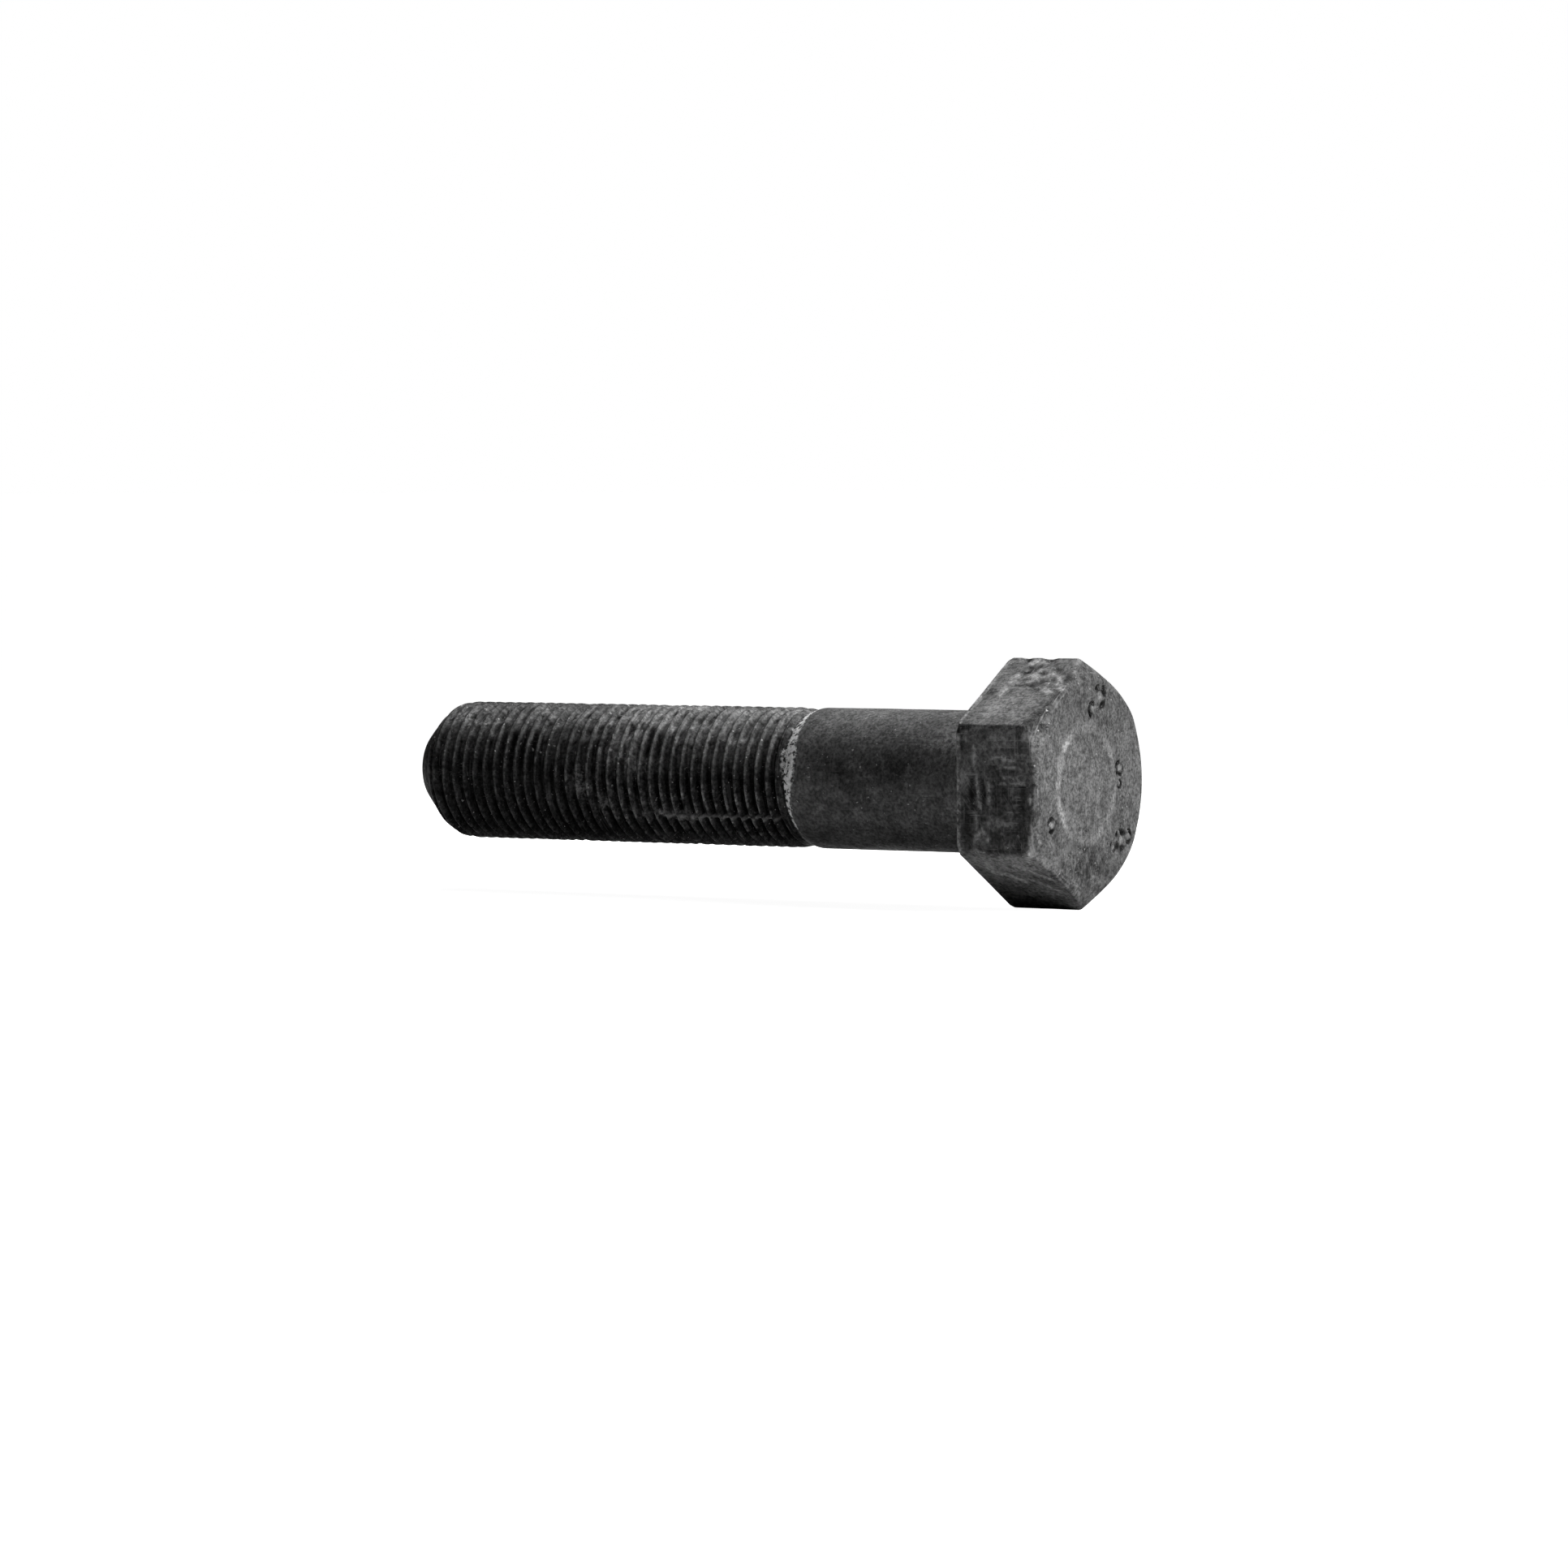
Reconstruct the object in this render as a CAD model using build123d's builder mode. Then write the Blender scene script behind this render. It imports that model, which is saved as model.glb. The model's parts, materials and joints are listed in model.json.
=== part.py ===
from build123d import *
import os
from math import cos, radians, sin, tan

# A hexagon head cap screw with a 5/8-18 UNF thread, 3 inches long under the head.
# It is one solid piece of steel: the head is forged on the bar and the thread is rolled.
#
# Frame: X runs along the axis and points to the head. The head bears on the plane X = 0, the
# threaded end points to -X, and two corners of the hexagon lie on +Z and -Z.

# Driving dimensions, in millimetres and degrees
INCH = 25.4
LENGTH = 3.0 * INCH  # from the bearing plane to the threaded end
ACROSS_FLATS = 15 / 16 * INCH
HEAD_HEIGHT = 25 / 64 * INCH
HEAD_CORNER_RADIUS = 0.3  # on the forged hexagon's corners
HEAD_TOP_DIA = 23.0  # flat circle inside the chamfer of the head's end
HEAD_CHAMFER_ANGLE = 30.0
BEARING_BEVEL_DIA = 26.7  # on the bearing plane, where the bevel of the corners starts
UNDER_HEAD_RADIUS = 0.8

BODY_DIA = 15.70
BODY_LENGTH = 23.8  # the full-diameter body, from the bearing plane
BODY_TAPER_LENGTH = 0.9
NECK_DIA = 15.10  # bar that is thinner than the body, ready for the thread
NECK_LENGTH = 0.5
FIRST_CREST_LENGTH = 1.4  # where the first crests rise from the neck to full height

PITCH = INCH / 18
THREAD_CREST_DIA = 15.73
FLANK_ANGLE = 30.0  # half of the thread's 60 degrees
SHARP_V_HEIGHT = PITCH / 2 / tan(radians(FLANK_ANGLE))
THREAD_DEPTH = 17 / 24 * SHARP_V_HEIGHT
ROOT_RADIUS = 0.144 * PITCH
THREAD_TURNS = 35  # the last of them run off the point
RUN_OUT_TURNS = 1.3
RUN_OUT_ANGLE = 20.0  # how steeply the root of the groove climbs out of the bar

POINT_DIA = 8.1  # flat end of the point
POINT_CONE_LENGTH = 3.6
POINT_CONE_ANGLE = 43.0  # from the axis
POINT_LEAD_ANGLE = 11.0  # a shallow cone between the point's cone and the crests

# How far the shapes that cut the bar stand clear of it
BAR_OVERLENGTH = 3.0
GROOVE_CLEARANCE = 0.10
OUTLINE_CLEARANCE = 1.0

BODY_INTO_HEAD = 1.0  # how far the shape of the body overlaps the head

# Radii, and places along the axis
body_radius = BODY_DIA / 2
neck_radius = NECK_DIA / 2
crest_radius = THREAD_CREST_DIA / 2
root_radius = crest_radius - THREAD_DEPTH
point_radius = POINT_DIA / 2
bearing_bevel_radius = BEARING_BEVEL_DIA / 2
head_top_radius = HEAD_TOP_DIA / 2
bar_start = -BODY_LENGTH - BODY_TAPER_LENGTH
neck_end = bar_start - NECK_LENGTH
full_crest = neck_end - FIRST_CREST_LENGTH
tip = -LENGTH
thread_end = full_crest - THREAD_TURNS * PITCH


def groove_profile(plane):
    """One thread groove: straight flanks on a round root that touches the plane's origin.

    The plane's X points away from the bolt's axis, and its Y runs along the bolt.
    """
    flank = radians(FLANK_ANGLE)
    arc_height = ROOT_RADIUS * (1 - sin(flank))
    arc_half_width = ROOT_RADIUS * cos(flank)
    top = THREAD_DEPTH + GROOVE_CLEARANCE
    top_half_width = arc_half_width + (top - arc_height) * tan(flank)
    with BuildSketch(plane) as profile:
        with BuildLine():
            ThreePointArc((arc_height, -arc_half_width), (0, 0), (arc_height, arc_half_width))
            Polyline(
                (arc_height, arc_half_width),
                (top, top_half_width),
                (top, -top_half_width),
                (arc_height, -arc_half_width),
            )
        make_face()
    return profile.sketch


with BuildPart() as threaded_bar:
    with BuildSketch(Plane.YZ.offset(bar_start)):
        Circle(crest_radius)
    extrude(amount=tip - BAR_OVERLENGTH - bar_start)

    # Full thread: a right-hand groove of constant depth that runs off the end of the bar
    with BuildLine() as helix:
        Helix(PITCH, THREAD_TURNS * PITCH, root_radius, (thread_end, 0, 0), (1, 0, 0))
    outward = Vector(0, (helix.line @ 0).Y, (helix.line @ 0).Z)
    forward = helix.line % 0
    groove = groove_profile(Plane(helix.line @ 0, outward, forward))
    sweep(groove, is_frenet=True, mode=Mode.SUBTRACT)

    # Run-out: the same groove climbs out of the bar towards the neck
    run_out_height = RUN_OUT_TURNS * PITCH
    with BuildLine() as run_out:
        Helix(PITCH, run_out_height, root_radius, (full_crest, 0, 0), (1, 0, 0), RUN_OUT_ANGLE)
    groove = groove_profile(Plane(run_out.line @ 0, outward, forward))
    sweep(groove, is_frenet=True, mode=Mode.SUBTRACT)

    # The two cones of the point, and the neck that the first crests rise from
    clear_radius = crest_radius + OUTLINE_CLEARANCE
    cone_radius = point_radius + POINT_CONE_LENGTH * tan(radians(POINT_CONE_ANGLE))
    lead_length = (clear_radius - cone_radius) / tan(radians(POINT_LEAD_ANGLE))
    crest_slope = (crest_radius - neck_radius) / FIRST_CREST_LENGTH
    with BuildSketch(Plane.XZ):
        with BuildLine():
            Polyline(
                (bar_start, 0),
                (tip, 0),
                (tip, point_radius),
                (tip + POINT_CONE_LENGTH, cone_radius),
                (tip + POINT_CONE_LENGTH + lead_length, clear_radius),
                (neck_end - (clear_radius - neck_radius) / crest_slope, clear_radius),
                (neck_end, neck_radius),
                (bar_start, neck_radius),
                close=True,
            )
        make_face()
    revolve(axis=Axis.X, mode=Mode.INTERSECT)


with BuildPart() as hex_bolt:
    # Hexagon
    with BuildSketch(Plane.YZ):
        RegularPolygon(ACROSS_FLATS / 2, 6, major_radius=False, rotation=30)
        fillet(vertices(), HEAD_CORNER_RADIUS)
    extrude(amount=HEAD_HEIGHT)

    # The chamfer on the head's end is a cone that meets it in a circle, and a steeper cone
    # bevels the six corners on the bearing side
    outline_radius = ACROSS_FLATS / 2 / cos(radians(30)) + OUTLINE_CLEARANCE
    cone_drop = (outline_radius - head_top_radius) * tan(radians(HEAD_CHAMFER_ANGLE))
    with BuildSketch(Plane.XZ):
        with BuildLine():
            Polyline(
                (0, 0),
                (HEAD_HEIGHT, 0),
                (HEAD_HEIGHT, head_top_radius),
                (HEAD_HEIGHT - cone_drop, outline_radius),
                (outline_radius - bearing_bevel_radius, outline_radius),
                (0, bearing_bevel_radius),
                close=True,
            )
        make_face()
    revolve(axis=Axis.X, mode=Mode.INTERSECT)

    # The radius under the head, the plain body and its taper to the neck
    flare_radius = body_radius + 2 * UNDER_HEAD_RADIUS
    with BuildSketch(Plane.XZ):
        with BuildLine():
            FilletPolyline(
                (BODY_INTO_HEAD, 0),
                (BODY_INTO_HEAD, flare_radius),
                (0, flare_radius),
                (0, body_radius),
                (-BODY_LENGTH, body_radius),
                (bar_start, neck_radius),
                (bar_start, 0),
                radius=(0, 0, 0, UNDER_HEAD_RADIUS, 0, 0, 0),
                close=True,
            )
        make_face()
    revolve(axis=Axis.X)

    add(threaded_bar.part)

hex_bolt.part.label = "hex_bolt"
os.makedirs("parts", exist_ok=True)
export_step(hex_bolt.part, "parts/hex_bolt.step")
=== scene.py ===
"""A used hex bolt in black steel: one closed mesh with a real thread, worn edges, dents and a
layered procedural finish, around the CAD frame. All lengths are in metres, in the CAD frame:
X along the axis towards the head, the bearing face on x = 0."""
import json
import math

import bpy
import numpy as np
from mathutils import Matrix, Vector


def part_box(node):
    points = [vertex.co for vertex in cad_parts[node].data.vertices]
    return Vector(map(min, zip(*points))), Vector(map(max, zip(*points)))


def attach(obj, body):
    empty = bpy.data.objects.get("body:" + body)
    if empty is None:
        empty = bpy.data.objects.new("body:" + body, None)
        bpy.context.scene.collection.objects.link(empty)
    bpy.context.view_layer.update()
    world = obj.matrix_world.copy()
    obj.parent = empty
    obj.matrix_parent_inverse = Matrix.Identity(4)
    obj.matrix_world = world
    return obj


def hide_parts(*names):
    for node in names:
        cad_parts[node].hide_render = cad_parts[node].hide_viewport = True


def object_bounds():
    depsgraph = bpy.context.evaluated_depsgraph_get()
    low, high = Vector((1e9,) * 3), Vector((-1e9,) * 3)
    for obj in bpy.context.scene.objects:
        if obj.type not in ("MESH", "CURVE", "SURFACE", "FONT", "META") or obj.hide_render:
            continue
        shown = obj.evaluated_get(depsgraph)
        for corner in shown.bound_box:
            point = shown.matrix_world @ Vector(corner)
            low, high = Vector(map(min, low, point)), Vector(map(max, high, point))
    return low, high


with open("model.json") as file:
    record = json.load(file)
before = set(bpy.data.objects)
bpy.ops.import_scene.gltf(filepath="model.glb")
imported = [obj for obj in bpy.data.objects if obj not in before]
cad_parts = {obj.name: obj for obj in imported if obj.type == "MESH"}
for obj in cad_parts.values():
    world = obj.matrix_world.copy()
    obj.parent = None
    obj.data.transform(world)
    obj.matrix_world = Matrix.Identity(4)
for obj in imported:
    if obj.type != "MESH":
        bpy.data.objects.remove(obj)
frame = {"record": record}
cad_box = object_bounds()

MM = 0.001
SEED = 7

# -------------------- sizes from the frame
bolt_low, bolt_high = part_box("hex_bolt")
mounts = {mount["name"]: mount for mount in frame["record"]["mounts"]}
shank_mount = mounts["shank"]
TIP_X = bolt_low.x
HEAD_END_X = bolt_high.x
HALF_FLATS = bolt_high.y
BODY_RADIUS = shank_mount["dims"]["r_mm"] * MM
BODY_END_X = shank_mount["pos_m"][0] - shank_mount["dims"]["length_mm"] / 2 * MM
CREST_RADIUS = mounts["thread"]["dims"]["r_mm"] * MM

# -------------------- sizes of the finished bolt
CORNER_RADIUS = 0.35 * MM  # of the hexagon's corners
HEAD_TOP_RADIUS = 11.5 * MM  # of the circle inside the chamfer of the head's end
CHAMFER_SLOPE = math.tan(math.radians(30))
BEARING_BEVEL_RADIUS = 13.35 * MM  # where the bevel of the corners meets the bearing face
LEAST_BEVEL = 0.06 * MM  # along the flats
UNDER_HEAD_CUT = 0.8 * MM  # of the radius under the head
NECK_RADIUS = 7.55 * MM
BODY_TAPER = 0.9 * MM
NECK_LENGTH = 0.5 * MM
FIRST_CREST = 1.4 * MM  # where the first crests rise from the neck
NECK_X = BODY_END_X - BODY_TAPER
NECK_END_X = NECK_X - NECK_LENGTH
FULL_CREST_X = NECK_END_X - FIRST_CREST

POINT_RADIUS = 4.25 * MM
POINT_RISE = 0.2 * MM  # the worn point is fuller on its upper side
POINT_CONE = 3.6 * MM
POINT_CONE_RADIUS = POINT_RADIUS + POINT_CONE * math.tan(math.radians(43))
POINT_LEAD = (CREST_RADIUS - POINT_CONE_RADIUS) / math.tan(math.radians(11))
POINT_END = 0.9 * MM  # the part of the point that has no trace of the groove

PITCH = 25.4 * MM / 18
ROOT_ARC = 0.144 * PITCH
THREAD_DEPTH = 17 / 24 * 0.866 * PITCH
ROOT_RADIUS = CREST_RADIUS - THREAD_DEPTH
FLANK = math.radians(30)
RUN_OUT_SLOPE = math.tan(math.radians(11))
CREST_ROUNDING = 0.16 * MM

# how far the outline's corners are rounded back
POINT_ROUNDING = 0.45 * MM
EDGE_ROUNDING = 0.2 * MM
TAPER_ROUNDING = 0.3 * MM
CHAMFER_ROUNDING = 0.35 * MM
POINT_SOFTNESS = 0.5 * MM  # along X, where x is less than POINT_SOFT_X
THREAD_SOFTNESS = 0.25 * MM
POINT_SOFT_X = TIP_X + 10 * MM

# -------------------- rows and columns of the mesh
HELIX_START_X = TIP_X + 2.7 * MM  # the rows between these two follow the helix
HELIX_END_X = NECK_X - 0.03 * MM
SNAP = 0.03 * MM  # rows this close to the helix's two ends join the ring there
ROW_STEP = 0.25 * MM  # widest spacing of the plain rows
BEND_ROWS = 6  # in each rounded corner
ROOT_TO_CREST = [0.09, 0.176, 0.32, 0.47, 0.585, 0.625, 0.665]  # rows, in mm from the root
CENTRE_HOLE = 0.25 * MM  # radius of the last ring before the centre vertex of each end
SECTOR_COLUMNS = 30  # columns from a corner of the hexagon to the middle of a flat
CROWDING = 1.5  # how strongly the columns draw together at the corners

# -------------------- wear of the finished bolt
UNDULATION = 0.012 * MM
END_RING_RADIUS = 6.2 * MM
END_RING_WIDTH = 0.85 * MM  # on each side of that radius
END_RING_CENTRE = (-0.95 * MM, 0.15 * MM)  # in Y and Z
END_RING_RIDGE = 0.035 * MM
CRACK_DEPTH = 0.08 * MM
CUT_DEPTH = 0.10 * MM
CREST_WEAR = 0.03 * MM  # depths, as are the next three
CREST_NICKS = 0.10 * MM
CREST_SCRAPE = 0.09 * MM
SEAM_DEPTH = 0.035 * MM
SEAM_REACH = 0.07 * MM
TRACE_DEPTH = 0.17 * MM  # of the groove's last turns, over the point's cone
TRACE_REACH = 0.42 * MM
DIRT_EDGE = 0.12 * MM  # how softly packed dirt meets the flanks

# x, y, z and radius in mm, and how deep, of single dents
DENTS = [
    (2.2, -0.4, 13.4, 0.9, 0.28),
    (5.0, -0.3, 13.4, 1.1, 0.26),
    (3.4, -2.2, 12.5, 0.7, 0.16),
    (5.6, -3.2, 11.9, 0.8, 0.14),
    (7.4, -2.6, 12.2, 0.6, 0.16),
    (6.4, -4.9, 10.9, 0.6, 0.12),
    (2.6, -9.6, -8.2, 0.8, 0.10),
    (4.4, -7.2, -9.6, 0.9, 0.08),
    (7.6, 11.4, 6.6, 0.8, 0.20),
    (3.0, 11.8, -6.4, 0.9, 0.22),
]
# angle about X, distance from it and radius in mm of plain dimples on the head's end, which
# stand in for its stamped marks
DIMPLES = [
    (77, 9.7, 1.50),
    (86, 8.2, 1.00),
    (316, 9.2, 1.30),
    (324, 10.3, 0.90),
    (305, 8.6, 0.70),
    (13, 6.6, 0.95),
    (358, 6.4, 0.60),
    (346, 7.0, 0.50),
    (205, 9.4, 0.95),
]
DIMPLE_DEPTH = 0.26 * MM

# from x, y, z to x, y, z in mm, half width in mm, and how strong, of light scrapes on the head
SCRAPES = [
    (2.5, -11.9, 1.3, 2.7, -11.9, -0.4, 0.20, 0.6),
    (2.8, -11.9, -0.8, 2.9, -11.9, -2.1, 0.18, 0.7),
    (2.4, -11.9, -2.8, 2.5, -11.9, -4.6, 0.20, 0.6),
    (3.1, -11.9, -4.4, 2.3, -11.9, -5.5, 0.26, 0.9),
    (3.1, -11.9, -4.4, 3.9, -11.9, -5.5, 0.26, 0.8),
    (4.0, -11.9, 0.5, 4.1, -11.9, -1.5, 0.20, 0.5),
    (2.2, -11.9, 4.6, 2.3, -11.9, 2.2, 0.24, 0.5),
    (5.9, -11.9, 3.2, 7.1, -11.9, 3.2, 0.20, 1.0),
    (4.6, -11.9, 3.3, 6.2, -11.9, 3.5, 0.16, 0.7),
    (7.3, -11.9, 3.6, 8.7, -11.9, 3.6, 0.16, 0.7),
    (5.8, -11.9, 0.7, 8.5, -11.9, 0.7, 0.16, 0.7),
    (6.0, -11.9, 1.2, 7.6, -11.9, 1.1, 0.14, 0.6),
    (5.4, -11.9, 2.4, 7.8, -11.9, 2.3, 0.14, 0.5),
    (4.6, -11.9, -3.6, 6.6, -11.9, -3.9, 0.50, 0.4),
    (5.4, -11.9, 5.2, 6.6, -11.9, 5.0, 0.40, 0.4),
    (1.1, -11.9, 6.0, 1.3, -11.9, 5.4, 0.30, 0.9),
    (8.4, -11.9, 5.9, 8.6, -11.9, 5.3, 0.26, 0.9),
    (9.1, -11.9, -0.9, 9.1, -11.9, -1.3, 0.24, 1.6),
    (9.9, -11.2, -4.7, 9.9, -10.7, -5.8, 0.30, 1.2),
    (8.8, -11.6, -7.0, 8.0, -10.2, -7.9, 0.28, 1.1),
    (2.3, -9.5, -8.3, 2.2, -7.7, -9.3, 0.40, 2.2),
    (2.2, -7.7, -9.3, 3.5, -7.4, -9.5, 0.40, 2.0),
    (3.5, -7.4, -9.5, 5.1, -5.9, -10.3, 0.32, 1.7),
    (5.6, -9.4, -8.3, 8.6, -6.6, -9.9, 0.30, 1.1),
    (6.0, -6.4, -10.0, 9.0, -3.4, -11.6, 0.26, 0.8),
    (3.3, -1.0, 13.2, 3.7, -0.7, 13.4, 0.34, 1.5),
    (4.5, -3.5, 11.7, 4.9, -2.2, 12.5, 0.30, 0.8),
    (6.1, -3.4, 11.8, 6.8, -3.0, 12.0, 0.34, 0.9),
    (8.1, -3.5, 11.8, 8.4, -4.5, 11.2, 0.34, 0.9),
    (9.1, -5.0, 10.8, 9.4, -5.4, 10.6, 0.40, 0.8),
    (7.3, -5.6, 10.5, 8.2, -6.0, 10.3, 0.36, 0.9),
    (2.6, -3.1, 12.0, 2.6, -4.5, 11.2, 0.40, 0.8),
    (2.5, -5.4, 10.6, 2.5, -6.5, 10.0, 0.44, 0.8),
    (4.6, -4.2, 11.4, 5.4, -3.6, 11.8, 0.34, 0.8),
    (3.0, -9.8, 8.0, 5.4, -6.9, 9.8, 0.70, 0.22),
    (5.6, -9.9, 8.0, 7.4, -7.6, 9.4, 0.60, 0.20),
    (2.0, 11.9, 4.0, 8.4, 11.9, 1.5, 0.25, 0.9),
    (3.2, 11.9, -4.5, 4.6, 11.9, 2.5, 0.24, 0.8),
    (2.0, 8.2, 9.1, 7.5, 6.2, 10.2, 0.30, 0.9),
    (3.5, 4.4, -11.2, 7.5, 8.0, -9.2, 0.30, 0.9),
]
# the same for dark cuts, and for painted shade along the head's upper-left chamfer
CUTS_AND_SHADE = [
    (3.2, -3.0, 11.9, 4.6, -1.7, 12.8, 0.26, 1.0),
    (2.9, -2.4, 12.2, 3.6, -2.7, 12.1, 0.22, 0.8),
    (5.2, -5.0, 10.9, 6.6, -5.6, 10.5, 0.34, 0.8),
    (7.5, -4.0, 11.4, 8.0, -4.2, 11.3, 0.26, 0.9),
    (4.6, -8.2, 9.0, 5.2, -7.7, 9.3, 0.50, 0.5),
    (0.8, -5.6, 10.5, 0.8, -8.0, 9.2, 0.50, 0.5),
    # these two are painted shade along the head's upper-left chamfer, each also a shallow cut
    (8.8, -11.2, 7.2, 9.8, -8.6, 8.8, 0.90, 1.0),
    (9.4, -9.2, 8.4, 9.4, -3.4, 11.8, 0.80, 0.8),
    (9.8, -11.6, 6.6, 9.8, -11.9, -1.0, 0.40, 0.5),
    (4.5, -11.9, 2.6, 5.7, -11.9, 0.8, 0.20, 0.9),
    (1.9, -11.9, 1.0, 1.9, -11.9, -1.9, 0.40, 0.9),
    (3.4, -11.9, 1.0, 3.4, -11.9, -2.0, 0.36, 0.9),
    (1.1, -11.9, -2.5, 1.4, -11.9, -6.4, 0.80, 0.8),
    (2.6, -11.9, -3.9, 4.2, -11.9, -4.5, 0.24, 0.7),
    (8.3, -11.9, 0.3, 8.2, -11.9, -3.7, 0.55, 0.7),
    (4.0, -11.9, -6.8, 8.0, -11.9, -6.7, 0.50, 0.8),
    (0.2, -11.9, 6.4, 1.4, -11.9, 6.6, 0.40, 0.9),
    (0.5, -11.9, 4.6, 0.7, -11.9, 3.6, 0.40, 0.6),
    (7.8, -11.9, 6.2, 7.8, -11.9, 3.8, 0.40, 0.5),
    (4.0, 11.9, 3.6, 6.0, 11.9, 1.0, 0.40, 0.8),
    (7.0, 8.0, 9.2, 8.0, 5.0, 10.9, 0.40, 0.8),
]

# x, y, z and reach along each of them in mm, and how strong, of rubbed patches on the head
RUBBED = [
    (4.5, -4.2, 11.4, 3.6, 3.4, 2.4, 0.42),
    (2.6, -8.5, 9.0, 3.0, 2.6, 2.0, 0.35),
    (6.0, -6.8, 9.9, 2.0, 1.6, 1.4, 0.4),
    (4.5, -10.0, -8.4, 5.0, 2.4, 1.5, 2.4),
    (3.0, -7.2, -9.9, 4.0, 2.0, 1.4, 1.0),
    (5.5, -4.2, -11.4, 5.0, 2.4, 1.6, 0.6),
    (9.9, 8.4, 3.0, 1.5, 3.6, 6.0, 0.22),
    (5.0, 9.8, -8.0, 4.5, 3.0, 2.4, 0.8),
    (4.0, 11.9, 1.5, 3.5, 1.0, 4.0, 0.6),
    (6.0, 6.2, 10.2, 3.0, 3.5, 2.2, 0.8),
]
# the same for dark stains anywhere, and for painted shade on the head's upper-left chamfer
STAINS_AND_SHADE = [
    # this one makes the lower part of the head's end darker
    (9.9, -2.0, -9.6, 3.0, 8.0, 4.4, 1.0),
    (9.9, 8.0, -5.0, 3.0, 3.0, 4.0, 0.4),
    # painted shade on the head's upper-left chamfer, which also dulls the highlight there
    (9.4, -9.8, 7.4, 1.2, 2.6, 2.2, 0.8),
    (1.0, -11.9, 5.6, 1.6, 1.5, 2.2, 0.6),
    (5.6, -11.9, -3.0, 6.0, 0.8, 5.6, 1.0),
    (7.5, -11.9, 1.5, 2.2, 1.5, 6.0, 0.5),
    (1.8, -11.9, -2.0, 1.6, 1.5, 5.0, 0.5),
    (5.0, -3.0, -12.5, 6.0, 3.0, 2.0, 0.7),
    (3.5, 11.9, -4.0, 3.0, 1.5, 3.0, 0.5),
    (-14.0, -7.9, 0.5, 9.0, 2.5, 3.2, 0.75),
    (-6.0, -7.5, -1.0, 4.0, 2.5, 3.0, 0.50),
    (-10.0, 7.5, -2.0, 8.0, 2.5, 4.0, 0.5),
]

# the battered part of the upper flat: x, y, z of its middle and its reach along each, in mm
GOUGED_CENTRE = (5.2, -3.4, 11.9)
GOUGED_REACH = (4.6, 3.8, 2.4)

# how light each finish is
BASE_TONE = 0.067
HEAD_TONE = 1.07  # of the base tone
THREAD_TONE = 0.54  # of the base tone
GRIME_TONE = 0.15
WORN_TONE = 0.20
RUBBED_TONE = 0.19
SCRATCH_TONE = 0.20
SCRAPE_TONE = 0.32
RING_TONE = 0.28
DUST_TONE = 0.20
PACKED_TONE = 0.088
CHALK_TONE = 0.72
SPECK_TONE = 0.40
SHINE = 4.5  # strength of the highlights for each unit of tone, up to MOST_SHINE
MOST_SHINE = 0.9

# x in mm, angle in degrees, reach in mm and in degrees, and how strong, of grime in the thread
GRIME = [
    (-46.0, 120, 8.0, 20, 1.0),
    (-45.5, 160, 4.0, 26, 1.0),
    (-46.5, 205, 5.0, 12, 1.0),
    (-51.5, 188, 2.2, 18, 1.0),
    (-42.5, 213, 4.5, 9, 1.0),
    (-38.0, 218, 4.0, 5, 1.0),
    (-34.0, 112, 9.0, 20, 1.0),
    (-67.5, 125, 5.0, 16, 0.8),
    (-58.0, 112, 6.0, 20, 0.6),
    (-27.5, 118, 3.0, 18, 0.8),
    (-55.0, 320, 7.0, 30, 0.8),
    (-38.0, 20, 6.0, 35, 0.9),
]

# where the thread's finish begins and where it is complete, along X
THREAD_FINISH = (-24.45 * MM, -24.75 * MM)
# packed dirt lies on the upper side, and thinly at the front near the point: angles in degrees
PACKED_UPPER = 112
PACKED_FRONT = 140

# the chalky ring on the run-out, in mm: its middle along X and its least width, and then angle,
# spread in degrees and how much wider in mm where it is broader
CHALK_X = -24.35
CHALK_WIDTH = 0.26
CHALK_BULGES = [
    (163, 24, 0.66),
    (122, 14, 0.35),
    (20, 40, 0.25),
]

# the light scrape across the crests, and the polish around it, which also paints a highlight on the
# crests there, in degrees
SCRAPE_ANGLE = 215.2
SCRAPE_SPREAD = 2.8
POLISH_AND_HIGHLIGHT_ANGLE = 212

# -------------------- viewpoint, light and floor
NOMINAL_DIAMETER = 15.875 * MM
CAMERA_DISTANCE = 42.19 * NOMINAL_DIAMETER
# where the middle of the bearing face is in the view: right, ahead and up
CAMERA_SHIFT = Vector((1.5694, 0.0, 0.0092)) * NOMINAL_DIAMETER
YAW = -0.5615  # in radians, as are the next three
PITCH_UP = 0.0322
ROLL = 0.0055
TURN = 0.026  # about the bolt's own axis
SENSOR_WIDTH = 36.0
LENS = 140.515528  # in millimetres, as is the sensor's width
CLIP_NEAR = 0.01
CLIP_FAR = 50.0
WORLD_LIGHT = 0.008  # strength of the white world as a light
LAMP_SPREAD = math.radians(50)
FLOOR_REACH = 6.0
FLOOR_GREY = (0.5, 0.5, 0.5, 1)
# the glow that keeps the floor white: distances from the origin, and its strength at each
GLOW = {"From Min": 0.08, "From Max": 0.5, "To Min": 0.96, "To Max": 1.0}


# -------------------- columns and rows
def column_angles():
    """Angles about X from +Y, closer together near the six corners of the hexagon."""
    steps = (np.arange(SECTOR_COLUMNS) / SECTOR_COLUMNS) ** CROWDING * 30.0
    sector = np.concatenate([steps, 60.0 - np.append(steps[1:], 30.0)[::-1]])
    corners = 30.0 + 60.0 * np.arange(6)
    return np.sort(np.radians(np.concatenate([corner + sector for corner in corners]) % 360.0))


ANGLES = column_angles()
COLUMNS = len(ANGLES)


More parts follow.
